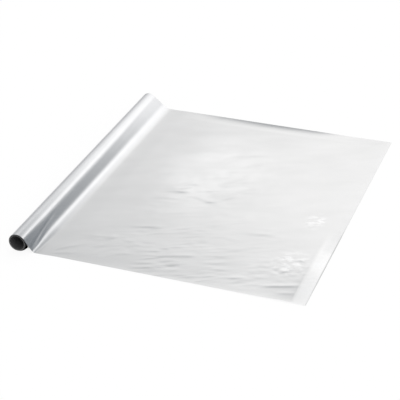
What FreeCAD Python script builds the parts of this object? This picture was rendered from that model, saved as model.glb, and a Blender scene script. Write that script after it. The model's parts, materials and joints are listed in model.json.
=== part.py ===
"""Roll of gift wrap, partly unrolled on a table.

A hollow card core carries the wound turns of a plain metallised film.  The outermost
turn leaves the roll as a web, drops to the table, bends at a foot and lies flat as a
rectangular sheet with a straight cut edge.

Frame: millimetres, +Z up, table at z = 0, roll axis along Y, sheet towards +X, origin
at the middle of the underside of the bounding box.
"""
import FreeCAD, Part
import math
import os

import Sketcher

# Driving dimensions: alias, value, meaning.
SIZES = [
    ("film_width", 700.0, "width of the film, along the roll"),
    ("film_thick", 0.30, "thickness of the unrolled film"),
    ("sheet_reach", 607.0, "roll axis to the cut edge"),
    ("core_radius", 18.25, "outside of the core"),
    ("core_wall", 2.2, "wall of the core"),
    ("lip_round", 0.7, "rounding of both rims of the core"),
    ("winding_gap", 0.05, "clearance between core and first turn"),
    ("winding_thick", 0.70, "all wound turns together"),
    ("web_sink", 0.05, "how far inside the last turn the web starts"),
    ("foot_near", 14.5, "side of the roll to the foot of the web, near end"),
    ("foot_far", 30.0, "side of the roll to the foot of the web, far end"),
    ("bend_near", 6.0, "inside radius of the bend at the foot, near end"),
    ("bend_far", 18.0, "inside radius of the bend at the foot, far end"),
    ("turn_shift", 7.0, "how far the turns have slid along the axis, out of line with the sheet"),
    ("core_proud", 1.5, "how far the core has slid out of the turns"),
    ("trim_gap", 0.5, "distance from the roll at which the slanting edges of the web start"),
    ("trim_margin", 20.0, "how far the trimming outline runs past the film"),
]

# Lengths that follow from the driving dimensions, as formulas over the sheet.
TURNS_INNER = "(Sizes.core_radius + Sizes.winding_gap)"
ROLL_RADIUS = "(Sizes.core_radius + Sizes.winding_gap + Sizes.winding_thick)"
HALF_WIDTH = "(Sizes.film_width / 2)"
CORE_SHIFT = "(Sizes.turn_shift + Sizes.core_proud)"
FOOT_NEAR = f"({ROLL_RADIUS} + Sizes.foot_near)"
FOOT_FAR = f"({ROLL_RADIUS} + Sizes.foot_far)"
AXIS_X = f"({ROLL_RADIUS} - Sizes.sheet_reach) / 2"
MIDDLE_Y = f"{CORE_SHIFT} / 2"

# The two roundings of a rim share the wall, so each takes less than half of it.
LIP_SHARE = 0.45

doc = FreeCAD.newDocument("GiftWrapRoll")


def makeSheet():
    """The spreadsheet that holds the driving dimensions."""
    sheet = doc.addObject("Spreadsheet::Sheet", "Sizes")
    for row, (alias, value, meaning) in enumerate(SIZES, start=1):
        sheet.set(f"A{row}", alias)
        sheet.set(f"B{row}", str(value))
        sheet.set(f"C{row}", meaning)
        sheet.setAlias(f"B{row}", alias)
    doc.recompute()
    return sheet


sizes = makeSheet()
rollRadius = sizes.core_radius + sizes.winding_gap + sizes.winding_thick


def makeBody(name):
    """A body whose own origin is the roll axis at the middle of the film's width."""
    body = doc.addObject("PartDesign::Body", name)
    body.Label = name
    body.setExpression("Placement.Base.x", AXIS_X)
    body.setExpression("Placement.Base.y", MIDDLE_Y)
    body.setExpression("Placement.Base.z", ROLL_RADIUS)
    return body


def makeSketch(body, name, role, offset=None):
    """A sketch on one of the body's origin planes, moved along the plane's normal."""
    sketch = body.newObject("Sketcher::SketchObject", name)
    plane = next(o for o in body.Origin.OriginFeatures if o.Role == role)
    sketch.AttachmentSupport = [(plane, "")]
    sketch.MapMode = "FlatFace"
    if offset:
        sketch.setExpression("AttachmentOffset.Base.z", offset)
    doc.recompute()
    return sketch


def bind(sketch, constraint, name, formula):
    """Add a dimension, name it and drive it from the sheet."""
    index = sketch.addConstraint(constraint)
    sketch.renameConstraint(index, name)
    sketch.setExpression(f"Constraints.{name}", formula)


def addRing(sketch, outer, inner):
    """Two concentric circles about the roll axis, each (name, start value, formula)."""
    for name, value, formula in (outer, inner):
        circle = sketch.addGeometry(Part.Circle(FreeCAD.Vector(), FreeCAD.Vector(0, 0, 1), value), False)
        sketch.addConstraint(Sketcher.Constraint("Coincident", circle, 3, -1, 1))
        bind(sketch, Sketcher.Constraint("Radius", circle, value), name, formula)


def makeCore():
    """The card tube: a ring as long as the film is wide, with rounded rims."""
    body = makeBody("core_tube")
    sketch = makeSketch(body, "core_ring", "XZ_Plane", f"{CORE_SHIFT} - {HALF_WIDTH}")
    addRing(
        sketch,
        ("outside", sizes.core_radius, "Sizes.core_radius"),
        ("bore", sizes.core_radius - sizes.core_wall, "Sizes.core_radius - Sizes.core_wall"),
    )
    tube = body.newObject("PartDesign::Pad", "core_wall")
    tube.Profile = sketch
    tube.setExpression("Length", "Sizes.film_width")
    doc.recompute()
    rims = [f"Edge{i}" for i, edge in enumerate(tube.Shape.Edges, start=1)
            if isinstance(edge.Curve, Part.Circle)]
    lips = body.newObject("PartDesign::Fillet", "rounded_rims")
    lips.Base = (tube, rims)
    lips.setExpression("Radius", f"min(Sizes.lip_round; Sizes.core_wall * {LIP_SHARE})")
    doc.recompute()
    return body


def addTurns(body):
    """The wound turns, as one ring of film tight on the core."""
    sketch = makeSketch(body, "turns_ring", "XZ_Plane", f"Sizes.turn_shift - {HALF_WIDTH}")
    addRing(
        sketch,
        ("outside", rollRadius, ROLL_RADIUS),
        ("inside", sizes.core_radius + sizes.winding_gap, TURNS_INNER),
    )
    turns = body.newObject("PartDesign::Pad", "wound_turns")
    turns.Profile = sketch
    turns.setExpression("Length", "Sizes.film_width")
    doc.recompute()


def webSection(body, name, offset, footPlace, bendRadius):
    """Cross-section of the web, square to the roll axis, from the last turn to its foot.

    The web is straight, touches the last turn and bends until it lies along the table.
    """
    foot = sizes.evalExpression(footPlace)
    bend = sizes.evalExpression(bendRadius)
    thick = sizes.film_thick
    touch = rollRadius - sizes.web_sink
    centre = FreeCAD.Vector(foot, -rollRadius + thick + bend, 0)
    # The web's top face is the inner tangent of the touch circle and the bend circle.
    angle = math.atan2(centre.y, centre.x) + math.acos((touch + bend) / centre.Length)
    radial = FreeCAD.Vector(math.cos(angle), math.sin(angle), 0)
    topStart, underStart = radial * touch, radial * (touch - thick)
    topEnd, underEnd = centre - radial * bend, centre - radial * (bend + thick)
    topFoot = FreeCAD.Vector(foot, -rollRadius + thick, 0)
    underFoot = FreeCAD.Vector(foot, -rollRadius, 0)

    sketch = makeSketch(body, name, "XZ_Plane", offset)

    def line(start, end):
        return sketch.addGeometry(Part.LineSegment(start, end), False)

    def arc(radius):
        circle = Part.Circle(centre, FreeCAD.Vector(0, 0, 1), radius)
        return sketch.addGeometry(Part.ArcOfCircle(circle, angle + math.pi, 1.5 * math.pi), False)

    webTop, bendTop = line(topStart, topEnd), arc(bend)
    footEnd = line(topFoot, underFoot)
    webUnder, bendUnder = line(underEnd, underStart), arc(bend + thick)
    webStart = line(underStart, topStart)

    def join(kind, first, firstEnd, second, secondEnd):
        sketch.addConstraint(Sketcher.Constraint(kind, first, firstEnd, second, secondEnd))

    join("Tangent", webTop, 2, bendTop, 1)
    join("Perpendicular", bendTop, 2, footEnd, 1)
    join("Coincident", footEnd, 2, bendUnder, 2)
    join("Tangent", bendUnder, 1, webUnder, 1)
    join("Coincident", webUnder, 2, webStart, 1)
    join("Coincident", webStart, 2, webTop, 1)
    join("Coincident", bendTop, 3, bendUnder, 3)
    sketch.addConstraint(Sketcher.Constraint("Vertical", footEnd))
    sketch.addConstraint(Sketcher.Constraint("Parallel", webTop, webUnder))
    sketch.addConstraint(Sketcher.Constraint("Perpendicular", webStart, webTop))
    sketch.addConstraint(Sketcher.Constraint("PointOnObject", -1, 1, webStart))
    bind(sketch, Sketcher.Constraint("Distance", webTop, 1, -1, 1, touch),
         "touch", f"{ROLL_RADIUS} - Sizes.web_sink")
    bind(sketch, Sketcher.Constraint("Radius", bendTop, bend), "bend", bendRadius)
    bind(sketch, Sketcher.Constraint("DistanceX", -1, 1, bendTop, 3, foot), "foot", footPlace)
    bind(sketch, Sketcher.Constraint("DistanceY", footEnd, 2, -1, 1, rollRadius), "table", ROLL_RADIUS)
    bind(sketch, Sketcher.Constraint("DistanceY", footEnd, 2, footEnd, 1, thick),
         "thick", "Sizes.film_thick")
    doc.recompute()
    return sketch


def addWeb(body):
    """The web, ruled from its near section to its far one: the foot runs askew."""
    near = webSection(body, "web_near", f"{HALF_WIDTH} + Sizes.turn_shift", FOOT_NEAR, "Sizes.bend_near")
    far = webSection(body, "web_far", f"-{HALF_WIDTH}", FOOT_FAR, "Sizes.bend_far")
    web = body.newObject("PartDesign::AdditiveLoft", "unrolled_web")
    web.Profile = near
    web.Sections = [far]
    web.Ruled = True
    doc.recompute()


def addOutline(sketch, corners):
    """A closed outline in plan; each corner is a name with its x and y formulas."""
    values = [FreeCAD.Vector(*(sketch.evalExpression(f) for f in (x, y)), 0) for _, x, y in corners]
    first = sketch.GeometryCount
    for i, start in enumerate(values):
        sketch.addGeometry(Part.LineSegment(start, values[(i + 1) % len(values)]), False)
    for i, (name, x, y) in enumerate(corners):
        following = first + (i + 1) % len(values)
        sketch.addConstraint(Sketcher.Constraint("Coincident", first + i, 2, following, 1))
    for i, (name, x, y) in enumerate(corners):
        for axis, formula, value in (("X", x, values[i].x), ("Y", y, values[i].y)):
            dimension = Sketcher.Constraint(f"Distance{axis}", -1, 1, first + i, 1, value)
            bind(sketch, dimension, f"{name}_{axis.lower()}", formula)


def addFlat(body):
    """The flat sheet: it starts along the foot and is as thick as the web."""
    sketch = makeSketch(body, "sheet_outline", "XY_Plane", f"-{ROLL_RADIUS}")
    near, far = f"-{HALF_WIDTH} - Sizes.turn_shift", HALF_WIDTH
    addOutline(sketch, [
        ("near_foot", FOOT_NEAR, near),
        ("near_edge", "Sizes.sheet_reach", near),
        ("far_edge", "Sizes.sheet_reach", far),
        ("far_foot", FOOT_FAR, far),
    ])
    flat = body.newObject("PartDesign::Pad", "flat_sheet")
    flat.Profile = sketch
    flat.setExpression("Length", "Sizes.film_thick")
    doc.recompute()


def trimEnds(body):
    """Trim web and sheet in plan, where the film crosses from the slid turns to the sheet."""
    sketch = makeSketch(body, "trim_outlines", "XY_Plane")
    besideRoll = f"{ROLL_RADIUS} + Sizes.trim_gap"
    pastSheet = "Sizes.sheet_reach + Sizes.trim_margin"
    pastRoll = f"-{ROLL_RADIUS} - Sizes.trim_margin"
    turnsNear = f"-{HALF_WIDTH} - Sizes.turn_shift"
    turnsFar = f"{HALF_WIDTH} - Sizes.turn_shift"
    addOutline(sketch, [
        ("near_roll", besideRoll, turnsNear),
        ("near_foot", FOOT_NEAR, f"-{HALF_WIDTH}"),
        ("near_edge", pastSheet, f"-{HALF_WIDTH}"),
        ("near_out", pastSheet, f"{turnsNear} - Sizes.trim_margin"),
        ("near_back", besideRoll, f"{turnsNear} - Sizes.trim_margin"),
    ])
    addOutline(sketch, [
        ("far_roll", besideRoll, turnsFar),
        ("far_foot", FOOT_FAR, HALF_WIDTH),
        ("far_out", FOOT_FAR, f"{HALF_WIDTH} + Sizes.trim_margin"),
        ("far_back", pastRoll, f"{HALF_WIDTH} + Sizes.trim_margin"),
        ("far_side", pastRoll, turnsFar),
    ])
    doc.recompute()
    trim = body.newObject("PartDesign::Pocket", "trimmed_ends")
    trim.Profile = sketch
    trim.Type = "ThroughAll"
    trim.Midplane = True
    doc.recompute()


def makeWrap():
    """Wound turns, web and flat sheet: one piece of film, so one solid."""
    body = makeBody("wrap")
    addTurns(body)
    addWeb(body)
    addFlat(body)
    trimEnds(body)
    return body


bodies = [makeCore(), makeWrap()]
doc.recompute()

faults = [f"{o.Name}: {o.State}" for o in doc.Objects if {"Invalid", "Error"} & set(o.State)]
for body in bodies:
    if body.Shape.isNull() or not body.Shape.isValid():
        faults.append(f"{body.Label}: null or invalid shape")
if faults:
    raise RuntimeError("; ".join(faults))

os.makedirs("parts", exist_ok=True)
for body in bodies:
    body.Shape.exportStep(f"parts/{body.Label}.step")
    box = body.Shape.BoundBox
    print(f"{body.Label}: {len(body.Shape.Solids)} solid, {body.Shape.Volume / 1000:.2f} cm3,",
          f"x {box.XMin:.2f}..{box.XMax:.2f}, y {box.YMin:.2f}..{box.YMax:.2f},",
          f"z {box.ZMin:.2f}..{box.ZMax:.2f}")
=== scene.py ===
# Roll of silver gift wrap, pulled open on a white floor.
# Two parts: the black card core and the film, which is wound round it and drawn off flat.
import bpy
import json
import math
import numpy as np
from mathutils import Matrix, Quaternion, Vector, noise


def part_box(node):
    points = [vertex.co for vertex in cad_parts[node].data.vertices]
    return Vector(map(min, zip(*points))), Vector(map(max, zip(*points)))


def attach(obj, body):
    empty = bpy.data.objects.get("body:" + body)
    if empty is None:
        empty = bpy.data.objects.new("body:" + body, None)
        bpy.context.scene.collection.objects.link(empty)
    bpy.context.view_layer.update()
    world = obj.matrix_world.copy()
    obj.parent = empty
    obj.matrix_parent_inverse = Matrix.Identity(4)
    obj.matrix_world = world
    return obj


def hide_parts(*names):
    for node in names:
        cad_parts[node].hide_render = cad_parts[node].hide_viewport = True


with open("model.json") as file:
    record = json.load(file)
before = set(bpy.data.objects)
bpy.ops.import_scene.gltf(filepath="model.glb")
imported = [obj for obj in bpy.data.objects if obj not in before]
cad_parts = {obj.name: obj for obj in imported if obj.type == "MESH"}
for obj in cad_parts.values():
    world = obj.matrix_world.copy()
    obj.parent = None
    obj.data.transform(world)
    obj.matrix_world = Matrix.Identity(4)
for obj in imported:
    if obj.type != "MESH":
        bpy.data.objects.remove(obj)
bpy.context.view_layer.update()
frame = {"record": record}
filmLow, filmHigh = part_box("wrap")
coreLow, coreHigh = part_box("core_tube")
bore = [m for m in frame["record"]["mounts"] if m["name"] == "core_bore"][0]

# where things are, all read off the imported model; the roll lies along y
rollRadius = (filmHigh[2] - filmLow[2]) / 2
rollX = filmLow[0] + rollRadius
coreRadius = (coreHigh[2] - coreLow[2]) / 2
boreRadius = bore["dims"]["r_mm"] / 1000
filmWidth = coreHigh[1] - coreLow[1]
turnsNear = filmLow[1]  # the turns have slid this way on the core
sheetNear = filmHigh[1] - filmWidth  # near edge of the part that lies flat
cutEdge = filmHigh[0]
print("frame read, roll radius", round(rollRadius, 4), "film width", round(filmWidth, 4))


def softStep(low, high, x):  # 0 at low, 1 at high, eased at both ends
    t = np.clip((np.asarray(x, float) - low) / (high - low), 0.0, 1.0)
    return t * t * (3 - 2 * t)


def noiseField(x, y, grain):
    # smooth random field; grain is its length along, across, the angle from x and a seed
    longSize, crossSize, turned, seed = grain
    c, s = math.cos(turned), math.sin(turned)
    out = np.empty(x.shape)
    for at in np.ndindex(x.shape):
        along = (x[at] * c + y[at] * s) / longSize
        across = (y[at] * c - x[at] * s) / crossSize
        out[at] = noise.noise((along, across, seed))
    return out


def hump(x, y, place):  # 1 at its middle; place is the middle's x and y, and its size along both
    midX, midY, sizeX, sizeY = place
    return np.exp(-((x - midX) / sizeX) ** 2 - ((y - midY) / sizeY) ** 2)


def ridgeHeight(x, y, ridge):  # a soft ridge between two points, fading out past both
    x0, y0, x1, y1, height, width = ridge
    run = math.hypot(x1 - x0, y1 - y0)
    ux, uy = (x1 - x0) / run, (y1 - y0) / run
    along = ((x - x0) * ux + (y - y0) * uy) / run
    across = (y - y0) * ux - (x - x0) * uy
    ends = softStep(-0.35, 0.3, along) * (1 - softStep(0.7, 1.35, along))
    return height * ends * np.exp(-(across / width) ** 2)


def newObject(name, mesh):
    thing = bpy.data.objects.new(name, mesh)
    bpy.context.collection.objects.link(thing)
    return thing


# The camera, worked out from the outline of the sheet and the round end of the roll.
cameraSet = {
    "lens": 115.13,
    "place": (0.84692, -2.27163, 1.39108),
    "aim": (-0.01599, -0.04010, 0.0),
    "tilt": -1.0415,  # degrees about its own line of sight
    "sees": 60,  # metres
}


def makeCamera(s):
    data = bpy.data.cameras.new("camera")
    data.lens = s["lens"]
    data.clip_end = s["sees"]
    camera = newObject("camera", data)
    place = Vector(s["place"])
    look = (Vector(s["aim"]) - place).to_track_quat("-Z", "Y")
    camera.location = place
    camera.rotation_mode = "QUATERNION"
    camera.rotation_quaternion = look @ Quaternion((0, 0, 1), math.radians(s["tilt"]))
    bpy.context.scene.camera = camera
    print("camera placed")


makeCamera(cameraSet)

# material slots of the film
outerSlot, innerSlot, rimSlot = 0, 1, 2


def thinSheet(name, mid, thickness, uv):
    # a film of even thickness about a grid of middle points, rows x columns x 3
    alongRows = np.gradient(mid, axis=0)
    alongCols = np.gradient(mid, axis=1)
    inward = np.cross(alongCols, alongRows)  # towards the roll and the floor
    inward /= np.linalg.norm(inward, axis=2, keepdims=True)
    rows, cols = mid.shape[:2]
    count = rows * cols
    inner = (mid + inward * thickness / 2).reshape(-1, 3)
    outer = (mid - inward * thickness / 2).reshape(-1, 3)
    points = np.concatenate([inner, outer])
    at = np.arange(count).reshape(rows, cols)
    a, b, c, d = at[:-1, :-1], at[:-1, 1:], at[1:, 1:], at[1:, :-1]
    innerFaces = np.stack([a, b, c, d], -1).reshape(-1, 4)
    # both sides start at the same corner, so each pair of faces bends along the same diagonal
    outerFaces = np.stack([a, d, c, b], -1).reshape(-1, 4) + count
    loop = list(at[0, :]) + list(at[1:, -1]) + list(at[-1, -2::-1]) + list(at[-2:0:-1, 0])
    rim = [(one, one + count, two + count, two) for one, two in zip(loop, loop[1:] + loop[:1])]
    faces = np.concatenate([innerFaces, outerFaces, np.array(rim)])
    mesh = bpy.data.meshes.new(name)
    mesh.from_pydata(points.tolist(), [], faces.tolist())
    flatUv = np.concatenate([uv.reshape(-1, 2), uv.reshape(-1, 2)])
    layer = mesh.uv_layers.new(name="filmLength")
    corners = np.empty(len(mesh.loops), int)
    mesh.loops.foreach_get("vertex_index", corners)
    layer.data.foreach_set("uv", flatUv[corners].ravel())
    mesh.polygons.foreach_set("use_smooth", [True] * len(mesh.polygons))
    rimStart = len(innerFaces) + len(outerFaces)
    slots = np.full(len(mesh.polygons), outerSlot)
    slots[:len(innerFaces)] = innerSlot
    slots[rimStart:] = rimSlot
    mesh.polygons.foreach_set("material_index", slots)
    sharp = set()
    for face in mesh.polygons[rimStart:]:
        sharp.update(face.edge_keys)
    for edge in mesh.edges:
        edge.use_edge_sharp = edge.key in sharp
    mesh.update()
    return newObject(name, mesh)


def filmUv(u, w):
    # film coordinates: as x and y on the floor, and back along the film from there
    return np.stack([np.repeat(u[:, None], len(w), 1),
                     np.repeat(sheetNear + w[None, :] * filmWidth, len(u), 0)], -1)


# The film: last turn on the roll, web down to the floor, and the flat length.
# Lengths are in metres. A pair is where a change starts and where it is complete. A grain is
# the length along, across, the angle from x and a seed.
filmSheet = {
    "thickness": 0.00006,
    "pitch": 0.00007,  # one turn to the next
    "lastTurn": 1.04,  # turns in this piece
    "columns": 165,
    "edgeCrowding": 0.42,  # 0 even, towards 1 finer at both edges
    "lengthColumn": 80,  # the film's length is taken along this one
    "rollRows": 62,
    "webRows": 26,
    "bendRows": 22,
    "flatRows": 138,
    "lift": 0.0001,  # how far the flat length stands off the floor at least
    # the web, as it falls from the roll and turns flat
    "footNear": 0.0330,  # from the roll's axis to where web and floor would meet, near edge
    "footFar": 0.0390,
    "landNear": 0.007,  # from there on to where the film lies flat, near edge
    "landFull": 0.0212,  # and away from it
    "landGrows": 0.11,
    "landStarts": -0.25,  # under 0 it already grows at the edge
    "bendNear": 0.012,  # length over which the film turns flat
    "bendFull": 0.035,
    "leadNear": 8.0,  # degrees the web still steepens after it leaves the roll
    "leadFull": 27.0,
    "farShare": 0.45,  # lead at the far edge, as a share of the full one
    "farShareFrom": (0.5, 1.0),  # shares of the width
    "slopes": (35, 85),  # degrees, between which the web's steepest slope lies
    "slopeTries": 40,
    "lineSteps": 160,
    "slideOut": 0.0022,  # how far the near edge lies outside its true line
    "slideWeb": 0.0028,  # how far the web's near edge has come back from the turns' end
    "slideRun": 0.050,  # length over which it comes back the rest of the way
    "farDrawn": 0.0105,  # how far the far edge is drawn in where it curls
    "farDrawnFrom": (0.8, 1.0),  # shares of the width
    # the last turn's end, which hangs loose under the web near the roll's near end
    "looseAt": [-84, -71, -55, -42, -30, -19, 0],  # degrees round the roll, 0 towards the sheet
    "looseBy": [0.0, 0.0005, 0.0011, 0.0019, 0.0032, 0.0050, 0.0060],  # how far off the roll
    "looseRoom": 0.9,  # and the share of the gap to the web that it takes at most
    "looseWide": 0.20,  # share of the width over which it comes tight
    # dents in the last turn, deepest at the near end
    "dentGrain": (0.045, 0.0045, 0.10, 5.0),
    "dentNear": 0.00012,
    "dentAll": 0.00003,
    "dentBias": 0.4,
    "dentFades": (0.01, 0.13),  # from the near end
    "dentRows": 8,  # rows over which they start, where the web leaves
    # creases slanting across the web from the near corner: distance from the near edge, height
    # up the web, the same for the other end, then how proud and how wide
    "creases": [
        (0.003, 0.011, 0.070, 0.021, 0.00020, 0.0032),
        (0.070, 0.021, 0.125, 0.027, 0.00018, 0.0032),
        (0.010, 0.004, 0.060, 0.016, -0.00018, 0.0032),
    ],
    "creaseFades": 0.006,
    # rows at the cut edge, as distances from it; the even rows stop at the first number
    "evenTo": 0.0235,
    "cutRows": [0.020, 0.016, 0.0125, 0.0095, 0.007, 0.005, 0.0035, 0.0024, 0.0016, 0.001,
                0.0006, 0.0003, 0.0],
    # relief of the flat length
    "reliefGrows": 0.040,  # from where the web has turned flat
    "edgeCalm": 0.03,  # width over which it fades at the far and the cut edge
    "nearCalm": 0.035,  # and at the near edge, by the roll
    "nearCalmMore": 0.060,  # more than that towards the cut edge
    "nearCalmFrom": (0.0, 0.15),
    "nearOut": 0.002,  # how far outside its true line the near edge is taken to be
    "rolling": 0.0007,  # broad unevenness
    "rollingGrain": (0.16, 0.09, 0.3, 3.0),
    "rollingBias": 0.6,
    "swell": 0.0030,  # down the middle, falling away towards the cut edge
    "swellAt": (-0.10, 0.06, 0.09, 0.19),
    # ripples left from being wound tight, in clusters: weight, and middle and size along x and y
    "rippleBase": 0.10,
    "rippleClusters": [
        (1.2, (0.00, 0.01, 0.12, 0.11)),  # the middle
        (0.5, (0.04, 0.14, 0.08, 0.08)),  # beyond it
        (0.55, (-0.06, -0.25, 0.20, 0.09)),  # along the near edge
        (0.1, (0.24, -0.23, 0.06, 0.07)),  # by the free near corner
    ],
    "rippleMost": 1.35,
    "patchGrain": (0.085, 0.045, 0.45, 41.0),  # they come and go in patches
    "patchFrom": (-0.15, 0.30),
    "patchLeast": 0.25,
    "rippleFrom": (0.070, 0.120),  # from the roll's axis
    "ripples": [(0.0009, (0.024, 0.0110, 0.40, 11.0)), (0.00030, (0.019, 0.0095, 0.22, 23.0))],
    # a crumpled patch by the free near corner
    "crumple": 0.0004,
    "crumpleAt": (0.24, -0.23, 0.06, 0.07),
    "crumpleGrain": (0.013, 0.010, 0.2, 57.0),
    # soft ridges pressed into it: from x, y to x, y, height, width
    "ridges": [
        (-0.092, -0.030, -0.045, -0.014, 0.0015, 0.0060),
        (-0.112, -0.066, -0.076, -0.052, 0.0008, 0.0060),
        (-0.026, -0.034, 0.014, -0.040, 0.0010, 0.0060),
        (0.014, -0.040, 0.056, 0.004, 0.0009, 0.0060),
        (0.006, -0.016, 0.040, 0.000, 0.0007, 0.0060),
        (0.014, 0.036, 0.060, 0.056, 0.0009, 0.0060),
        (0.060, 0.020, 0.096, 0.036, 0.0007, 0.0060),
        (-0.117, -0.190, -0.056, -0.174, 0.0007, 0.0055),
        (-0.062, -0.118, -0.018, -0.098, 0.0004, 0.0060),
        (0.122, -0.136, 0.172, -0.127, 0.0004, 0.0055),
        (0.104, -0.210, 0.150, -0.190, 0.0003, 0.0060),
        (0.146, -0.305, 0.172, -0.295, 0.0005, 0.0050),
        (0.216, -0.311, 0.276, -0.293, 0.0005, 0.0050),
        (0.252, -0.326, 0.280, -0.318, 0.0002, 0.0050),
        (-0.180, -0.254, -0.127, -0.238, 0.0005, 0.0055),
        (-0.219, -0.312, -0.192, -0.282, 0.0004, 0.0050),
        (-0.160, -0.288, -0.120, -0.268, 0.0004, 0.0055),
        (-0.115, -0.302, -0.070, -0.287, 0.0004, 0.0055),
        (0.001, -0.270, 0.046, -0.255, 0.0006, 0.0055),
        (-0.052, -0.332, -0.010, -0.320, 0.0003, 0.0055),
        (0.010, 0.172, 0.060, 0.186, 0.0007, 0.0058),
        (-0.118, 0.040, -0.080, 0.056, 0.0006, 0.0058),
        (0.006, 0.086, 0.052, 0.100, 0.0007, 0.0058),
        (0.030, 0.128, 0.070, 0.142, 0.0007, 0.0058),
        (-0.250, -0.342, -0.170, -0.280, 0.0006, 0.0050),
        (-0.246, -0.343, -0.180, -0.322, 0.0004, 0.0045),
    ],
    # small sharp dimples that catch the light: x, y, height, size
    "dimples": [
        (0.233, -0.024, 0.00049, 0.0050),
        (0.236, -0.063, 0.00042, 0.0050),
        (0.252, -0.060, 0.00028, 0.0040),
        (0.221, -0.246, 0.00049, 0.0050),
        (0.250, -0.244, 0.00063, 0.0060),
        (0.238, -0.252, 0.00049, 0.0050),
        (0.245, -0.210, 0.00056, 0.0050),
        (0.259, -0.200, 0.00049, 0.0050),
        (0.268, -0.226, 0.00042, 0.0050),
    ],
    "raised": 0.5,  # share of the deepest hollow by which the whole is raised
    # the far edge curls up along its middle, the near one hardly
    "curlFrom": (-0.26, -0.10),
    "curlTo": (0.12, 0.26),
    "curlHeight": 0.0052,
    "curlWide": 0.030,
    "nearCurl": 0.0005,
    "nearCurlFrom": (-0.2, 0.0),
    "nearCurlWide": 0.008,
    # the cut end bows: it rises to a crest and comes down straight to the edge
    "crestBack": 0.006,  # the crest's distance from the edge, at the far end of the edge
    "crestBackMore": 0.026,  # more than that towards the near corner
    "crestBackTo": (-0.34, 0.08),
    "crestSlope": 0.090,
    "crestTo": (-0.10, 0.12),
    "crestLeast": 0.0006,
    "crestNearShare": 0.45,  # its share of the height at the near corner
    "crestNearFrom": (-0.020, 0.120),
    "crestFades": 0.09,
}


def filmColumns(s):
    u = np.linspace(0.0, 1.0, s["columns"])
    return u - s["edgeCrowding"] * np.sin(2 * np.pi * u) / (2 * np.pi)


def fallingLine(s, slope, lead, bend):
    # From the last touch on the roll to the floor: the film steepens, runs straight and turns
    # flat. Gives the points and the length of each step between them.
    radius = rollRadius - s["thickness"] / 2
    steps = s["lineSteps"]
    first = slope - lead
    start = np.array([rollX + radius * math.sin(first), rollRadius + radius * math.cos(first)])
    q = (np.arange(steps) + 0.5) / steps
    steepening = first + lead * (2 * q - q * q)
    flattening = slope * (1 - softStep(0, 1, q))
    steepRun = np.repeat(2 * radius * lead / steps, steps)
    bendRun = np.repeat(bend / steps, steps)
    drop = (steepRun * np.sin(steepening)).sum() + (bendRun * np.sin(flattening)).sum()
    straight = (start[1] - s["lift"] - s["thickness"] / 2 - drop) / math.sin(slope)
    angle = np.concatenate([steepening, np.full(steps, slope), flattening])
    run = np.concatenate([steepRun, np.repeat(straight / steps, steps), bendRun])
    moves = np.stack([np.cos(angle) * run, -np.sin(angle) * run], -1)
    return np.concatenate([start[None], start + np.cumsum(moves, axis=0)]), run


def filmProfile(s, w):
    # middle line of the film for one column, w from 0 at the near edge to 1 at the far one
    radius = rollRadius - s["thickness"] / 2
    atEdge = softStep(s["landStarts"], 1, 0)
    grown = float(softStep(s["landStarts"], 1, w * filmWidth / s["landGrows"]) - atEdge)
    grown /= 1 - float(atEdge)
    foot = s["footNear"] + (s["footFar"] - s["footNear"]) * w
    share = 1 - (1 - s["farShare"]) * float(softStep(*s["farShareFrom"], w))
    land = rollX + foot + s["landNear"] + (s["landFull"] - s["landNear"]) * grown
    bend = s["bendNear"] + (s["bendFull"] - s["bendNear"]) * grown
    lead = math.radians(s["leadNear"] + (s["leadFull"] - s["leadNear"]) * grown) * share
    low, high = [math.radians(a) for a in s["slopes"]]
    for _ in range(s["slopeTries"]):  # the slope wanted is the one that lands in the right place
        slope = (low + high) / 2
        if fallingLine(s, slope, lead, bend)[0][-1, 0] > land:
            low = slope
        else:
            high = slope
    line, run = fallingLine(s, slope, lead, bend)
    # turn on the roll, from its hidden inner end to where the film leaves
    leaves = math.pi / 2 - slope + lead
    t = leaves + np.linspace(s["lastTurn"] * 2 * math.pi, 0.0, s["rollRows"], endpoint=False)
    r = radius - s["pitch"] * (t - leaves) / (2 * math.pi)
    # its end hangs loose under the web
    under = t - 2 * math.pi
    bearing = np.arctan2(line[::-1, 1] - rollRadius, line[::-1, 0] - rollX)
    reach = np.hypot(line[::-1, 0] - rollX, line[::-1, 1] - rollRadius)
    room = s["looseRoom"] * np.maximum(np.interp(under, bearing, reach) - radius, 0)
    hangs = np.interp(under, np.radians(s["looseAt"]), s["looseBy"])
    r += np.minimum(hangs, room) * (1 - float(softStep(0, s["looseWide"], w)))
    roll = np.stack([rollX + r * np.cos(t), rollRadius + r * np.sin(t)], -1)
    gone = np.concatenate([[0], np.cumsum(run)])
    down = gone[-1] - bend
    at = np.concatenate([np.linspace(0, down, s["webRows"], endpoint=False),
                         np.linspace(down, gone[-1], s["bendRows"], endpoint=False)])
    web = np.stack([np.interp(at, gone, line[:, 0]), np.interp(at, gone, line[:, 1])], -1)
    even = np.linspace(line[-1, 0], cutEdge - s["evenTo"], s["flatRows"] - len(s["cutRows"]))
    flatX = np.concatenate([even, cutEdge - np.array(s["cutRows"])])
    flat = np.stack([flatX, np.full(len(flatX), s["lift"] + s["thickness"] / 2)], -1)
    return np.concatenate([roll, web, flat]), slope


def curledPart(s, x):  # 1 where the far edge curls up
    return softStep(*s["curlFrom"], x) * (1 - softStep(*s["curlTo"], x))


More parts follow.
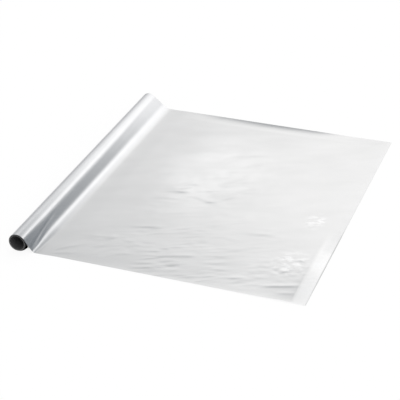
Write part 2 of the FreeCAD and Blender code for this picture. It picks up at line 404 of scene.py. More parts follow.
def flatRelief(s, x, y):
    # height of the flat length above its own level
    far = filmHigh[1] - y
    near = y - sheetNear + s["nearOut"]
    free = cutEdge - x
    edges = softStep(0.0, s["edgeCalm"], np.minimum(far, free))
    nearCalm = s["nearCalm"] + s["nearCalmMore"] * softStep(*s["nearCalmFrom"], x)
    edges = edges * softStep(0.0, nearCalm, near)
    height = s["rolling"] * edges * (noiseField(x, y, s["rollingGrain"]) + s["rollingBias"])
    height = height + s["swell"] * edges * hump(x, y, s["swellAt"])
    where = s["rippleBase"]
    for weight, place in s["rippleClusters"]:
        where = where + weight * hump(x, y, place)
    patches = softStep(*s["patchFrom"], noiseField(x, y, s["patchGrain"]))
    where = np.minimum(where, s["rippleMost"])
    where = where * (s["patchLeast"] + (1 - s["patchLeast"]) * patches)
    where = where * softStep(*s["rippleFrom"], x - rollX)
    for tall, grain in s["ripples"]:
        height = height + edges * where * tall * noiseField(x, y, grain)
    crumpled = hump(x, y, s["crumpleAt"]) * edges
    height = height + s["crumple"] * crumpled * noiseField(x, y, s["crumpleGrain"])
    for ridge in s["ridges"]:
        height = height + ridgeHeight(x, y, ridge)
    for midX, midY, tall, size in s["dimples"]:
        height = height + tall * hump(x, y, (midX, midY, size, size))
    height = height - s["raised"] * height.min() * edges
    curled = curledPart(s, x)
    toEdge = np.maximum(far - s["farDrawn"] * curled, 0)
    curl = np.clip(1 - toEdge / s["curlWide"], 0, 1) ** 2
    height = height + s["curlHeight"] * curled * curl
    nearCurl = softStep(*s["nearCurlFrom"], x) * np.exp(-near / s["nearCurlWide"])
    height = height + s["nearCurl"] * nearCurl
    wide = s["crestBack"] + s["crestBackMore"] * (1 - softStep(*s["crestBackTo"], y))
    crest = s["crestSlope"] * wide * (1 - softStep(*s["crestTo"], y)) + s["crestLeast"]
    nearShare = s["crestNearShare"]
    crest = crest * (nearShare + (1 - nearShare) * softStep(*s["crestNearFrom"], near))
    bow = np.clip(free / wide, 0, 1) * (1 - softStep(wide, wide + s["crestFades"], free))
    return np.maximum(height + crest * bow, 0)


def makeFilm(s):
    w = filmColumns(s)
    profiles = [filmProfile(s, one) for one in w]
    slopes = [slope for _, slope in profiles]
    least, most = math.degrees(min(slopes)), math.degrees(max(slopes))
    print("web: slope", round(least, 1), "to", round(most, 1))
    lines = np.array([line for line, _ in profiles]).transpose(1, 0, 2)  # rows, columns, (x, z)
    rows = lines.shape[0]
    rollEnd = s["rollRows"]
    bendEnd = rollEnd + s["webRows"] + s["bendRows"]
    # the turns sit nearer than the flat length: the web carries the difference
    slide = np.zeros(rows)
    slide[rollEnd:bendEnd] = softStep(0, 1, np.linspace(0, 1, bendEnd - rollEnd))
    slide[bendEnd:] = 1.0
    farY = turnsNear + filmWidth + (sheetNear - turnsNear) * slide
    # its near corner comes straight down and is drawn back to the line only on the floor
    back = softStep(0, s["slideRun"], lines[:, 0, 0] - lines[bendEnd, 0, 0])
    back[:bendEnd] = 0.0
    nearY = turnsNear + s["slideWeb"] * slide
    nearY += (sheetNear - s["slideOut"] - turnsNear - s["slideWeb"]) * back
    y = nearY[:, None] + (farY - nearY)[:, None] * w[None, :]
    drawn = s["farDrawn"] * curledPart(s, lines[..., 0]) * slide[:, None]
    y -= drawn * softStep(*s["farDrawnFrom"], w)[None, :]
    mid = np.stack([lines[..., 0], y, lines[..., 1]], -1)
    roll = mid[:rollEnd]
    turn = np.arctan2(roll[..., 2] - rollRadius, roll[..., 0] - rollX)
    nearEnd = 1 - softStep(*s["dentFades"], roll[..., 1] - turnsNear)
    dent = noiseField(roll[..., 1], turn * rollRadius, s["dentGrain"]) - s["dentBias"]
    dent = np.minimum((s["dentNear"] * nearEnd + s["dentAll"]) * dent, 0)
    dent *= softStep(0, s["dentRows"], np.arange(rollEnd)[::-1])[:, None]
    roll += np.stack([np.cos(turn), 0 * turn, np.sin(turn)], -1) * dent[..., None]
    flat = mid[bendEnd:]
    grown = softStep(0, s["reliefGrows"], flat[..., 0] - flat[:1, :, 0])
    flat[..., 2] += flatRelief(s, flat[..., 0], flat[..., 1]) * grown
    web = mid[rollEnd:bendEnd]
    step = np.linalg.norm(np.diff(web, axis=0), axis=2)
    down = np.concatenate([np.zeros((1, len(w))), np.cumsum(step, axis=0)])
    up = lines[rollEnd:bendEnd, :, 1] / math.sin(slopes[0])
    outward = np.cross(np.gradient(web, axis=1), np.gradient(web, axis=0))
    outward /= np.linalg.norm(outward, axis=2, keepdims=True)
    creased = sum(ridgeHeight(web[..., 1] - web[:, :1, 1], up, crease) for crease in s["creases"])
    creased *= softStep(0, s["creaseFades"], down) * softStep(0, s["creaseFades"], down[-1:] - down)
    web += outward * creased[..., None]
    steps = np.linalg.norm(np.diff(mid[:, s["lengthColumn"]], axis=0), axis=1)
    length = np.concatenate([[0], np.cumsum(steps)])
    piece = thinSheet("filmSheet", mid, s["thickness"], filmUv(cutEdge - length[-1] + length, w))
    # on the roll the film's edge shows among those of the turns, past it as the outer side
    for face in piece.data.polygons:
        row = max(face.vertices) % (rows * len(w)) // len(w)
        if face.material_index == rimSlot and row > rollEnd:
            face.material_index = outerSlot
    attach(piece, "root")
    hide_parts("wrap")
    print("film made,", round(float(length[-1]), 3), "m long,", len(piece.data.polygons), "faces")
    return piece


film = makeFilm(filmSheet)

# The turns still wound under the last one.
woundTurns = {
    "turns": 8.6,
    "thickness": 0.00006,
    "pitch": 0.00007,
    "perTurn": 96,
    "columns": [0, 0.004, 0.02, 0.1, 0.3, 0.5, 0.7, 0.9, 0.98, 0.996, 1.0],  # shares of the width
    "stagger": 0.00022,  # how unevenly the turns' edges lie
    "staggerPace": 0.9,
    "staggerSeed": 3.1,
    "staggerBias": 0.45,
    "starts": 2.0,  # film coordinate of its inner end, back from the cut edge
}


def makeTurns(s):
    slope = filmProfile(filmSheet, 0.5)[1] - math.radians(filmSheet["leadFull"])
    start = math.pi / 2 - slope + filmSheet["lastTurn"] * 2 * math.pi
    count = int(s["turns"] * s["perTurn"])
    t = start + np.linspace(0, s["turns"] * 2 * math.pi, count)[::-1]
    r = rollRadius - s["thickness"] / 2 - s["pitch"] * (t - math.pi / 2 + slope) / (2 * math.pi)
    w = np.array(s["columns"])
    uneven = [noise.noise((a * s["staggerPace"], s["staggerSeed"], 0.0)) for a in t]
    slip = np.maximum(s["stagger"] * (np.array(uneven) + s["staggerBias"]), 0)[:, None]
    mid = np.empty((count, len(w), 3))
    mid[..., 0] = (rollX + r * np.cos(t))[:, None]
    mid[..., 1] = turnsNear + slip + (filmWidth - 2 * slip) * w
    mid[..., 2] = (rollRadius + r * np.sin(t))[:, None]
    run = np.concatenate([[0], np.cumsum(np.abs(np.diff(t)) * r[1:])])
    piece = thinSheet("woundTurns", mid, s["thickness"], filmUv(cutEdge - s["starts"] + run, w))
    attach(piece, "root")
    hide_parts("wrap")
    print("turns made,", round(float(run[-1]), 3), "m wound")
    return piece


turns = makeTurns(woundTurns)

# The card core.
cardCore = {
    "lip": 0.0005,  # radius of the rounded rims
    "lipSteps": 8,
    "around": 128,
    "alongBore": 60,
    "alongOutside": 12,
}


def makeCore(s):
    lip = s["lip"]
    near, far = coreLow[1] + lip, coreHigh[1] - lip
    outer, inner = coreRadius - lip, boreRadius + lip
    bend = [math.pi / 2 * k / s["lipSteps"] for k in range(s["lipSteps"] + 1)]
    # (y, radius) round the wall's section: near rim, bore, far rim, outside
    ring = [(near - lip * math.sin(a), outer + lip * math.cos(a)) for a in bend]
    ring += [(near - lip * math.sin(a), inner - lip * math.cos(a)) for a in bend[::-1]]
    for k in range(1, s["alongBore"]):
        ring.append((near + (far - near) * k / s["alongBore"], boreRadius))
    ring += [(far + lip * math.sin(a), inner - lip * math.cos(a)) for a in bend]
    ring += [(far + lip * math.sin(a), outer + lip * math.cos(a)) for a in bend[::-1]]
    for k in range(1, s["alongOutside"]):
        ring.append((far - (far - near) * k / s["alongOutside"], coreRadius))
    points, faces = [], []
    n, m = s["around"], len(ring)
    for i in range(n):
        a = 2 * math.pi * i / n
        for y, r in ring:
            points.append((rollX + r * math.cos(a), y, rollRadius + r * math.sin(a)))
        for j in range(m):
            i2, j2 = (i + 1) % n, (j + 1) % m
            faces.append((i * m + j, i2 * m + j, i2 * m + j2, i * m + j2))
    mesh = bpy.data.meshes.new("cardCore")
    mesh.from_pydata(points, [], faces)
    mesh.polygons.foreach_set("use_smooth", [True] * len(mesh.polygons))
    mesh.update()
    piece = newObject("cardCore", mesh)
    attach(piece, "root")
    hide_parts("core_tube")
    print("core made,", len(mesh.polygons), "faces")
    return piece


core = makeCore(cardCore)


def newMaterial(name):
    material = bpy.data.materials.new(name)
    material.use_nodes = True
    tree = material.node_tree
    return material, tree, tree.nodes["Principled BSDF"]


def addNode(tree, kind, **values):
    node = tree.nodes.new(kind)
    for key, value in values.items():
        setattr(node, key, value)
    return node


def join(tree, source, target):
    # feeds a target socket from another socket, or sets it to a plain value
    if isinstance(source, bpy.types.NodeSocket):
        tree.links.new(source, target)
    else:
        target.default_value = source


def maths(tree, operation, first, second=0.0, clamp=False):
    node = addNode(tree, "ShaderNodeMath", operation=operation, use_clamp=clamp)
    join(tree, first, node.inputs[0])
    join(tree, second, node.inputs[1])
    return node.outputs[0]


def add(tree, first, second, clamp=False):
    return maths(tree, "ADD", first, second, clamp)


def subtract(tree, first, second):
    return maths(tree, "SUBTRACT", first, second)


def multiply(tree, first, second, clamp=False):
    return maths(tree, "MULTIPLY", first, second, clamp)


def vectorMaths(tree, operation, first, second=None, output=0):
    node = addNode(tree, "ShaderNodeVectorMath", operation=operation)
    join(tree, first, node.inputs[0])
    if second is not None:
        join(tree, second, node.inputs[1])
    return node.outputs[output]


def eased(tree, value, start, end, low=0.0, high=1.0):
    node = addNode(tree, "ShaderNodeMapRange", interpolation_type="SMOOTHSTEP")
    given = {"Value": value, "From Min": start, "From Max": end, "To Min": low, "To Max": high}
    for name, source in given.items():
        join(tree, source, node.inputs[name])
    return node.outputs[0]


def combine(tree, *parts):
    node = addNode(tree, "ShaderNodeCombineXYZ")
    for source, target in zip(parts, node.inputs):
        join(tree, source, target)
    return node.outputs[0]


def blend(tree, factor, first, second):
    # the first colour where the factor is 0, the second where it is 1
    node = addNode(tree, "ShaderNodeMix", data_type="RGBA")
    for source, index in ((factor, 0), (first, 6), (second, 7)):
        join(tree, source, node.inputs[index])
    return node.outputs[2]


def raiseSurface(tree, shader, height, distance=1.0):
    bump = addNode(tree, "ShaderNodeBump")
    bump.inputs["Distance"].default_value = distance
    join(tree, height, bump.inputs["Height"])
    join(tree, bump.outputs[0], shader.inputs["Normal"])


def newGroup(name, inputs, outputs):
    # inputs as (name, kind, default), outputs as (name, kind)
    group = bpy.data.node_groups.new(name, "ShaderNodeTree")
    for title, kind, default in inputs:
        socket = group.interface.new_socket(title, in_out="INPUT", socket_type="NodeSocket" + kind)
        if default is not None:
            socket.default_value = default
    for title, kind in outputs:
        group.interface.new_socket(title, in_out="OUTPUT", socket_type="NodeSocket" + kind)
    given, result = group.nodes.new("NodeGroupInput"), group.nodes.new("NodeGroupOutput")
    return group, given.outputs, result.inputs


def makeStreaks():
    # smooth random value stretched into streaks along a direction in the plane
    group, given, result = newGroup("streaks", [
        ("Place", "Vector", None), ("Turned", "Float", 0.0), ("Long", "Float", 0.05),
        ("Wide", "Float", 0.01), ("Detail", "Float", 1.0), ("Seed", "Float", 0.0),
    ], [("Value", "Float")])
    turn = addNode(group, "ShaderNodeVectorRotate", rotation_type="Z_AXIS")
    join(group, given["Place"], turn.inputs["Vector"])
    join(group, multiply(group, given["Turned"], -1.0), turn.inputs["Angle"])
    size = combine(group, given["Long"], given["Wide"], given["Wide"])
    field = addNode(group, "ShaderNodeTexNoise", noise_dimensions="4D")
    field.inputs["Scale"].default_value = 1.0
    join(group, vectorMaths(group, "DIVIDE", turn.outputs[0], size), field.inputs["Vector"])
    join(group, given["Detail"], field.inputs["Detail"])
    join(group, given["Seed"], field.inputs["W"])
    join(group, field.outputs[0], result["Value"])
    return group


def makeSpot():
    # 1 inside a soft oval on the film, 0 outside
    group, given, result = newGroup("softOval", [
        ("Place", "Vector", None), ("Middle", "Vector", (0.0, 0.0, 0.0)),
        ("Size", "Vector", (1.0, 1.0, 1.0)), ("Edge", "Float", 0.5),
    ], [("Mask", "Float")])
    off = vectorMaths(group, "SUBTRACT", given["Place"], given["Middle"])
    scaled = vectorMaths(group, "DIVIDE", off, given["Size"])
    away = vectorMaths(group, "LENGTH", scaled, output="Value")
    join(group, eased(group, away, given["Edge"], 1.0, 1.0, 0.0), result["Mask"])
    return group


def makeTone():
    # a colour that a value around a half makes lighter or darker
    group, given, result = newGroup("tonedColour", [
        ("Colour", "Color", (0.5, 0.5, 0.5, 1.0)), ("Value", "Float", 0.5),
        ("Strength", "Float", 0.1),
    ], [("Colour", "Color")])
    about = subtract(group, given["Value"], 0.5)
    factor = add(group, multiply(group, about, given["Strength"]), 1.0)
    scaled = addNode(group, "ShaderNodeVectorMath", operation="SCALE")
    join(group, given["Colour"], scaled.inputs[0])
    join(group, factor, scaled.inputs["Scale"])
    join(group, scaled.outputs[0], result["Colour"])
    return group


streaks, softOval, tonedColour = makeStreaks(), makeSpot(), makeTone()


def use(tree, group, **values):
    node = addNode(tree, "ShaderNodeGroup", node_tree=group)
    for key, value in values.items():
        join(tree, value, node.inputs[key])
    return node.outputs[0]


def oval(x, y, sizeX, sizeY, edge):
    return {"Middle": (x, y, 0.0), "Size": (sizeX, sizeY, 1.0), "Edge": edge}


def grain(turned, longSize, crossSize, detail, seed):
    return {"Turned": turned, "Long": longSize, "Wide": crossSize, "Detail": detail, "Seed": seed}


# The film's silver. Film coordinates are x and y as on the floor. Four numbers are where a
# change starts and ends, and its value before and after.
silverFilm = {
    "colour": (0.870, 0.868, 0.865, 1.0),
    # painted highlight: on the roll the film is painted paler, for the bright band of its highlight
    "rolledColour": (0.925, 0.928, 0.938, 1.0),
    # painted sheen: the paler colour where the film is painted as catching more light
    "sheenColour": (1.0, 0.998, 0.994, 1.0),
    "edgeTint": (0.66, 0.66, 0.67, 1.0),
    "roughness": 0.252,
    "hazedRoughness": 0.262,
    "onRoll": -0.240,  # film coordinate at which the web reaches the floor
    "onRollWide": 0.02,
    # clouds, and a paler field down the middle of the flat length: a painted sheen, also a little
    # rougher
    "clouds": grain(0.4, 0.10, 0.045, 1.0, 3.0),
    "cloudTone": 0.10,
    "middle": oval(-0.035, 0.085, 0.150, 0.235, 0.25),
    "middleSheen": 0.34,
    "patchySheen": 0.30,  # more than that where the clouds are pale
    "patchyFrom": (0.30, 0.62),
    # painted sheen: the film is painted paler by the near corner
    "nearCorner": oval(0.240, -0.330, 0.210, 0.130, 0.3),
    "cornerSheen": 0.20,
    # the pale strip along the cut end, a painted highlight, and the darker line at the cut itself,
    # a painted shade line
    "strip": (0.034, 0.022),  # from the cut edge
    "stripAcross": (-0.17, -0.07, 1.0, 0.0),
    "cut": (0.0030, 0.0012),
    "cutAcross": [(-0.11, -0.03, 1.0, 0.12), (-0.33, -0.22, 0.35, 1.0)],
    "cutShade": 0.26,
    # crumpled patches by the free near corner, with painted glints
    "crumpled": [oval(0.244, -0.220, 0.050, 0.065, 0.3), oval(0.245, -0.045, 0.030, 0.045, 0.2)],
    "crumple": grain(0.2, 0.0180, 0.0120, 2.0, 45.0),
    "crumpleHeight": 0.00060,
    "glints": (0.46, 0.60),  # of the crumple's value
    "rubbed": grain(0.1, 0.050, 0.0060, 1.0, 9.0),  # faint streaks in the roughness
    "rubbedRough": 0.015,
    # fine ripples in clusters, strongest in the near half and away from the cut end
    "ripples": grain(0.43, 0.040, 0.0125, 0.5, 33.0),
    "rippleHeight": 0.00100,
    "rippleAcross": (0.20, -0.05, 0.10, 0.90),
    "rippleAlong": (0.24, 0.09, 0.30, 1.0),
    "rippleGrows": 0.07,
    "clusters": grain(0.45, 0.085, 0.045, 0.0, 21.0),
    "clusterFrom": (0.42, 0.60, 0.12, 1.0),
    # the cut end turns up towards its near corner
    "upturnWide": 0.030,
    "upturnAcross": (-0.15, -0.25, 0.0, 0.20),
    "drawLines": grain(math.pi / 2, 0.30, 0.0030, 2.0, 60.0),  # along the roll, on it only
    "drawHeight": 0.00006,
    "grain": grain(0.0, 0.0016, 0.0012, 1.0, 72.0),
    "grainHeight": 0.000003,
}

# painted shade: the side wound inwards is a darker grey copy of the silver, for the shade under the
# web
shadedSilverBack = dict(
    silverFilm,
    colour=(0.42, 0.42, 0.43, 1.0),
    rolledColour=(0.42, 0.42, 0.43, 1.0),
    sheenColour=(0.48, 0.48, 0.49, 1.0),
)


def makeSilver(name, s):
    material, tree, shader = newMaterial(name)
    place = addNode(tree, "ShaderNodeUVMap", uv_map="filmLength").outputs[0]
    split = addNode(tree, "ShaderNodeSeparateXYZ")
    join(tree, place, split.inputs[0])
    along, across = split.outputs[0], split.outputs[1]
    rolled = eased(tree, along, s["onRoll"] - s["onRollWide"], s["onRoll"], 1.0, 0.0)
    # how pale the film is painted: a painted sheen, which also makes it a little rougher
    clouds = use(tree, streaks, Place=place, **s["clouds"])
    patchy = multiply(tree, eased(tree, clouds, *s["patchyFrom"]), s["patchySheen"])
    middle = use(tree, softOval, Place=place, **s["middle"])
    sheenAndHaze = multiply(tree, middle, add(tree, patchy, s["middleSheen"]))
    # painted highlight: the strip along the cut end and the near corner are painted paler
    strip = eased(tree, along, *[cutEdge - a for a in s["strip"]])
    strip = multiply(tree, strip, eased(tree, across, *s["stripAcross"]))
    nearCorner = use(tree, softOval, Place=place, **s["nearCorner"])
    strip = maths(tree, "MAXIMUM", strip, multiply(tree, nearCorner, s["cornerSheen"]))
    sheenAndHaze = maths(tree, "MAXIMUM", sheenAndHaze, strip)
    crumpled = [use(tree, softOval, Place=place, **one) for one in s["crumpled"]]
    crumpled = maths(tree, "MAXIMUM", *crumpled)
    crumple = use(tree, streaks, Place=place, **s["crumple"])
    # painted glints: the crumples' high spots are painted paler
    glints = multiply(tree, crumpled, eased(tree, crumple, *s["glints"]))
    sheenAndHaze = maths(tree, "MAXIMUM", sheenAndHaze, glints)
    cut = eased(tree, along, *[cutEdge - a for a in s["cut"]])
    for change in s["cutAcross"]:
        cut = multiply(tree, cut, eased(tree, across, *change))
    sheenAndHaze = multiply(tree, sheenAndHaze, subtract(tree, 1.0, cut))
    # colour and roughness
    # painted highlight: paler where the film is on the roll
    colour = blend(tree, rolled, s["colour"], s["rolledColour"])
    # painted sheen: paler in the middle, along the cut end, by the near corner and at the glints
    colour = blend(tree, sheenAndHaze, colour, s["sheenColour"])
    colour = use(tree, tonedColour, Colour=colour, Value=clouds, Strength=s["cloudTone"])
    # painted shade: the line at the cut is painted darker
    cutShaded = subtract(tree, 0.5, multiply(tree, cut, s["cutShade"]))
    colour = use(tree, tonedColour, Colour=colour, Value=cutShaded, Strength=1.0)
    join(tree, colour, shader.inputs["Base Color"])
    hazed = multiply(tree, sheenAndHaze, s["hazedRoughness"] - s["roughness"])
    rubbed = subtract(tree, use(tree, streaks, Place=place, **s["rubbed"]), 0.5)
    rough = add(tree, s["roughness"], hazed)
    rough = add(tree, rough, multiply(tree, rubbed, s["rubbedRough"]))
    join(tree, rough, shader.inputs["Roughness"])
    # height: ripples, crumples, the upturned cut end, draw lines along the roll, grain
    clusters = use(tree, streaks, Place=place, **s["clusters"])
    where = multiply(tree, eased(tree, across, *s["rippleAcross"]),
                     eased(tree, along, *s["rippleAlong"]))
    where = multiply(tree, where, eased(tree, clusters, *s["clusterFrom"]))
    where = multiply(tree, where, eased(tree, along, s["onRoll"], s["onRoll"] + s["rippleGrows"]))
    ripples = subtract(tree, use(tree, streaks, Place=place, **s["ripples"]), 0.5)
    height = multiply(tree, multiply(tree, ripples, where), s["rippleHeight"])
    pinched = multiply(tree, crumpled, subtract(tree, crumple, 0.5))
    height = add(tree, height, multiply(tree, pinched, s["crumpleHeight"]))
    upturn = maths(tree, "MAXIMUM", subtract(tree, along, cutEdge - s["upturnWide"]), 0.0)
    upturn = multiply(tree, upturn, eased(tree, across, *s["upturnAcross"]))
    height = add(tree, height, upturn)
    drawn = multiply(tree, use(tree, streaks, Place=place, **s["drawLines"]), rolled)
    height = add(tree, height, multiply(tree, drawn, s["drawHeight"]))
    fine = use(tree, streaks, Place=place, **s["grain"])
    height = add(tree, height, multiply(tree, fine, s["grainHeight"]))
    raiseSurface(tree, shader, height)
    shader.inputs["Metallic"].default_value = 1.0
    shader.inputs["Specular Tint"].default_value = s["edgeTint"]
    return material


# The ends of the turns: painted dark for the shade between the turns, with a bright film edge here
# and there.
shadedStackedEdges = {
    # painted shade: near black for the shade between the turns
    "colour": (0.030, 0.030, 0.033, 1.0),
    "brightColour": (0.42, 0.42, 0.44, 1.0),
    "roughness": 0.42,
    "brightSmoother": 0.15,
    "brightMetal": 0.8,
    "gaps": grain(0.0, 0.014, 0.3, 2.0, 5.0),
    "bright": (0.50, 0.70),  # of the gaps' value; lower shows more bright edges
    "tone": 0.8,
}


def makeStacked(s):
    material, tree, shader = newMaterial("shadedStackedEdges")
    place = addNode(tree, "ShaderNodeUVMap", uv_map="filmLength").outputs[0]
    gaps = use(tree, streaks, Place=place, **s["gaps"])
    shown = eased(tree, gaps, *s["bright"])
    # painted shade between the turns, with bright metallic edges here and there
    colour = blend(tree, shown, s["colour"], s["brightColour"])
    colour = use(tree, tonedColour, Colour=colour, Value=gaps, Strength=s["tone"])
    join(tree, colour, shader.inputs["Base Color"])
    rough = subtract(tree, s["roughness"], multiply(tree, shown, s["brightSmoother"]))
    join(tree, rough, shader.inputs["Roughness"])
    join(tree, multiply(tree, shown, s["brightMetal"]), shader.inputs["Metallic"])
    return material


# in the order of the film's slots: outer side, inner side, rim
filmMaterials = [makeSilver("silverFilm", silverFilm), makeSilver("shadedSilverBack", shadedSilverBack),
                 makeStacked(shadedStackedEdges)]
for piece in (film, turns):
    for material in filmMaterials:
        piece.data.materials.append(material)

# The core's card. A pair is where a change starts and where it is complete, in metres.
blackCard = {
    "colour": (0.026, 0.026, 0.029, 1.0),
    # the pale colour of the painted highlight on the inner lip and of the worn scuffs on the outer
    # one
    "wearAndHighlightColour": (0.150, 0.148, 0.144, 1.0),
    # painted light: the bore is painted paler than the card outside, for light on its inner wall
    "boreLitColour": (0.085, 0.085, 0.088, 1.0),
    "roughness": 0.40,
    "boreRoughness": 0.60,
    "boreTo": (0.0002, 0.0005),  # out from the bore
    "seamPitch": 0.062,  # the card is wound from a strip, with its edge showing as a spiral
    "seamWide": 0.016,  # as a share of the pitch
    "fibres": grain(0.35, 0.006, 0.0007, 3.0, 2.0),
    "fibreRough": 0.2,
    "fibreShare": 0.6,  # of the seam's depth
    "reliefHeight": 0.00004,
    "mottle": grain(0.0, 0.012, 0.010, 3.0, 8.0),
    "mottleTone": 0.9,
    # both cut rims are pale: a thin pale line round the inner lip, a painted highlight, and worn
    # scuffs on the outer one
    "wearAndHighlightEnd": (0.0012, 0.0004),  # from the end
    "innerLip": 0.00020,  # out from the bore
    "innerLipFades": (0.00020, 0.00070),
    "innerHighlight": 0.85,
    "outerLip": (0.0006, 0.0001),  # in from the outside
    "scuffed": (0.50, 0.66),  # of the mottle's value
    "outerWorn": 0.30,
}


def makeCard(s):
    material, tree, shader = newMaterial("blackCard")
    split = addNode(tree, "ShaderNodeSeparateXYZ")
    join(tree, addNode(tree, "ShaderNodeTexCoord").outputs["Object"], split.inputs[0])
    aside = subtract(tree, split.outputs[0], rollX)
    along = split.outputs[1]
    above = subtract(tree, split.outputs[2], rollRadius)
    turn = maths(tree, "ARCTAN2", above, aside)
    square = add(tree, multiply(tree, aside, aside), multiply(tree, above, above))
    radius = maths(tree, "SQRT", square)
    unrolled = combine(tree, multiply(tree, turn, coreRadius), along, radius)
    winding = maths(tree, "DIVIDE", along, s["seamPitch"])
    winding = subtract(tree, winding, maths(tree, "DIVIDE", turn, 2 * math.pi))
    seam = subtract(tree, maths(tree, "FRACT", winding), 0.5)
    seam = eased(tree, maths(tree, "ABSOLUTE", seam), 0.0, s["seamWide"], 1.0, 0.0)
    inBore = eased(tree, radius, *[boreRadius + a for a in s["boreTo"]], 1.0, 0.0)
    fibres = use(tree, streaks, Place=unrolled, **s["fibres"])
    mottle = use(tree, streaks, Place=unrolled, **s["mottle"])
    toEnd = maths(tree, "MINIMUM", subtract(tree, along, coreLow[1]),
                  subtract(tree, coreHigh[1], along))
    innerLip = maths(tree, "ABSOLUTE", subtract(tree, radius, boreRadius + s["innerLip"]))
    innerLip = eased(tree, innerLip, *s["innerLipFades"], 1.0, 0.0)
    outerLip = eased(tree, radius, *[coreRadius - a for a in s["outerLip"]])
    scuffs = multiply(tree, eased(tree, mottle, *s["scuffed"]), s["outerWorn"])
    # painted highlight round the inner lip, worn scuffs on the outer one
    wearAndHighlight = add(tree, multiply(tree, innerLip, s["innerHighlight"]), multiply(tree, outerLip, scuffs))
    wearAndHighlight = multiply(tree, wearAndHighlight, eased(tree, toEnd, *s["wearAndHighlightEnd"]), clamp=True)
    # painted light: paler in the bore
    colour = blend(tree, inBore, s["colour"], s["boreLitColour"])
    colour = blend(tree, wearAndHighlight, colour, s["wearAndHighlightColour"])
    colour = use(tree, tonedColour, Colour=colour, Value=mottle, Strength=s["mottleTone"])
    join(tree, colour, shader.inputs["Base Color"])
    rougher = multiply(tree, inBore, s["boreRoughness"] - s["roughness"])
    fibreRough = multiply(tree, subtract(tree, fibres, 0.5), s["fibreRough"])
    rough = add(tree, add(tree, s["roughness"], rougher), fibreRough)
    join(tree, rough, shader.inputs["Roughness"])
    height = subtract(tree, multiply(tree, fibres, s["fibreShare"]), seam)
    raiseSurface(tree, shader, height, s["reliefHeight"])
    return material


core.data.materials.append(makeCard(blackCard))
print("materials made")


def newSurface(name):
    # a material with nothing in it yet, and the socket that its shader goes to
    material = bpy.data.materials.new(name)
    material.use_nodes = True
    tree = material.node_tree
    tree.nodes.clear()
    return material, tree, addNode(tree, "ShaderNodeOutputMaterial").inputs["Surface"]


# Floor, light and what the silver sees.
floorSet = {
    "size": 30.0,
    "below": 0.0002,  # how far it lies under the object
    "colour": (0.9, 0.9, 0.9, 1.0),
    "white": 1.02,  # what the camera and reflections see
    "whiteShare": 0.85,  # the rest shows the object's shadow
    # in the tunnel under the web the floor lies in the dark: axis, from where, complete where
    "dark": [
        ("X", rollX - 0.030, rollX - 0.002),
        ("X", cutEdge - 0.020, cutEdge - 0.030),
        ("Y", sheetNear + 0.006, sheetNear + 0.014),
        ("Y", filmHigh[1] - 0.006, filmHigh[1] - 0.014),
    ],
}


def shownRays(tree):
    # 1 for rays from the camera, and for those that gloss and glass send on
    path = addNode(tree, "ShaderNodeLightPath").outputs
    seen = add(tree, path["Is Camera Ray"], path["Is Glossy Ray"], clamp=True)
    return add(tree, seen, path["Is Transmission Ray"], clamp=True)


def makeFloor(s):
    half = s["size"] / 2
    mesh = bpy.data.meshes.new("floor")
    corners = [(-half, -half, 0), (half, -half, 0), (half, half, 0), (-half, half, 0)]
    mesh.from_pydata(corners, [], [(0, 1, 2, 3)])
    floor = newObject("floor", mesh)
    floor.location.z = -s["below"]
    material, tree, surface = newSurface("floor")
    paper = addNode(tree, "ShaderNodeBsdfDiffuse")
    paper.inputs["Color"].default_value = s["colour"]
    white = addNode(tree, "ShaderNodeEmission")
    white.inputs["Strength"].default_value = s["white"]
    split = addNode(tree, "ShaderNodeSeparateXYZ")
    join(tree, addNode(tree, "ShaderNodeTexCoord").outputs["Object"], split.inputs[0])
    inside = 1.0
    for axis, start, end in s["dark"]:
        inside = multiply(tree, inside, eased(tree, split.outputs[axis], start, end))
    shown = multiply(tree, shownRays(tree), s["whiteShare"])
    shown = multiply(tree, shown, subtract(tree, 1.0, inside))
    mix = addNode(tree, "ShaderNodeMixShader")
    for source, target in zip((shown, paper.outputs[0], white.outputs[0]), mix.inputs):
        join(tree, source, target)
    join(tree, mix.outputs[0], surface)
    mesh.materials.append(material)


makeFloor(floorSet)

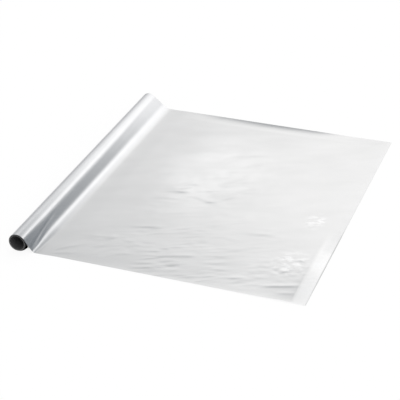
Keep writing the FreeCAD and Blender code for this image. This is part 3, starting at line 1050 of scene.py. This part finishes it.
# The tent is a dome of pale cloth that only reflections see, with soft bright and dark panels.
lightTent = {
    "radius": 2.0,
    "rings": 24,
    "around": 48,
    "cloth": 0.703,  # light of the bare cloth
    # scale and offset of red, green and blue: the darker, the bluer
    "tint": ((1.020, -0.022), (1.0, 0.0), (0.980, 0.022)),
    # degrees from +y towards +x, degrees up, full within, gone beyond, and the light it adds
    "panels": [
        (17.3, 28.7, 0.0, 48.0, 0.470),
        (-22.0, 26.0, 0.0, 30.0, 0.210),
        (28.0, 32.0, 0.0, 17.0, 0.060),
        (-10.0, 36.0, 0.0, 18.0, 0.060),
        (41.0, 4.0, 16.0, 28.0, -0.640),
        (46.3, 79.9, 29.0, 48.0, -0.470),
        (-166.8, -39.7, 89.2, 134.1, -0.283),
    ],
}


def makeTent(s):
    points, faces = [], []
    rings, around, radius = s["rings"], s["around"], s["radius"]
    for i in range(rings + 1):
        a = math.pi * i / rings
        for j in range(around):
            b = 2 * math.pi * j / around
            unit = (math.sin(a) * math.cos(b), math.sin(a) * math.sin(b), math.cos(a))
            points.append([c * radius for c in unit])
    for i in range(rings):
        for j in range(around):
            k = (j + 1) % around
            one, two = i * around, (i + 1) * around
            faces.append((one + j, one + k, two + k, two + j))
    mesh = bpy.data.meshes.new("lightTent")
    mesh.from_pydata(points, [], faces)
    tent = newObject("lightTent", mesh)
    tent.visible_camera = False
    tent.visible_diffuse = False
    tent.visible_shadow = False
    material, tree, surface = newSurface("tentCloth")
    place = addNode(tree, "ShaderNodeTexCoord").outputs["Object"]
    towards = vectorMaths(tree, "NORMALIZE", place)
    total = s["cloth"]
    for bearing, height, full, gone, added in s["panels"]:
        a, e = math.radians(bearing), math.radians(height)
        panel = (math.sin(a) * math.cos(e), math.cos(a) * math.cos(e), math.sin(e))
        dot = vectorMaths(tree, "DOT_PRODUCT", towards, panel, output="Value")
        angle = maths(tree, "ARCCOSINE", dot)
        light = eased(tree, angle, math.radians(full), math.radians(gone), added, 0.0)
        total = add(tree, total, light)
    colour = addNode(tree, "ShaderNodeCombineColor")
    for channel, (scale, offset) in zip(colour.inputs, s["tint"]):
        join(tree, add(tree, multiply(tree, total, scale), offset), channel)
    glow = addNode(tree, "ShaderNodeEmission")
    join(tree, colour.outputs[0], glow.inputs["Color"])
    join(tree, glow.outputs[0], surface)
    mesh.materials.append(material)


makeTent(lightTent)

world = bpy.data.worlds.new("plainWhite")
world.use_nodes = True
background = world.node_tree.nodes["Background"].inputs
background["Color"].default_value = (1.0, 1.0, 1.0, 1.0)
background["Strength"].default_value = 1.0
bpy.context.scene.world = world
bpy.context.scene.view_settings.view_transform = "Standard"
print("floor and light made")
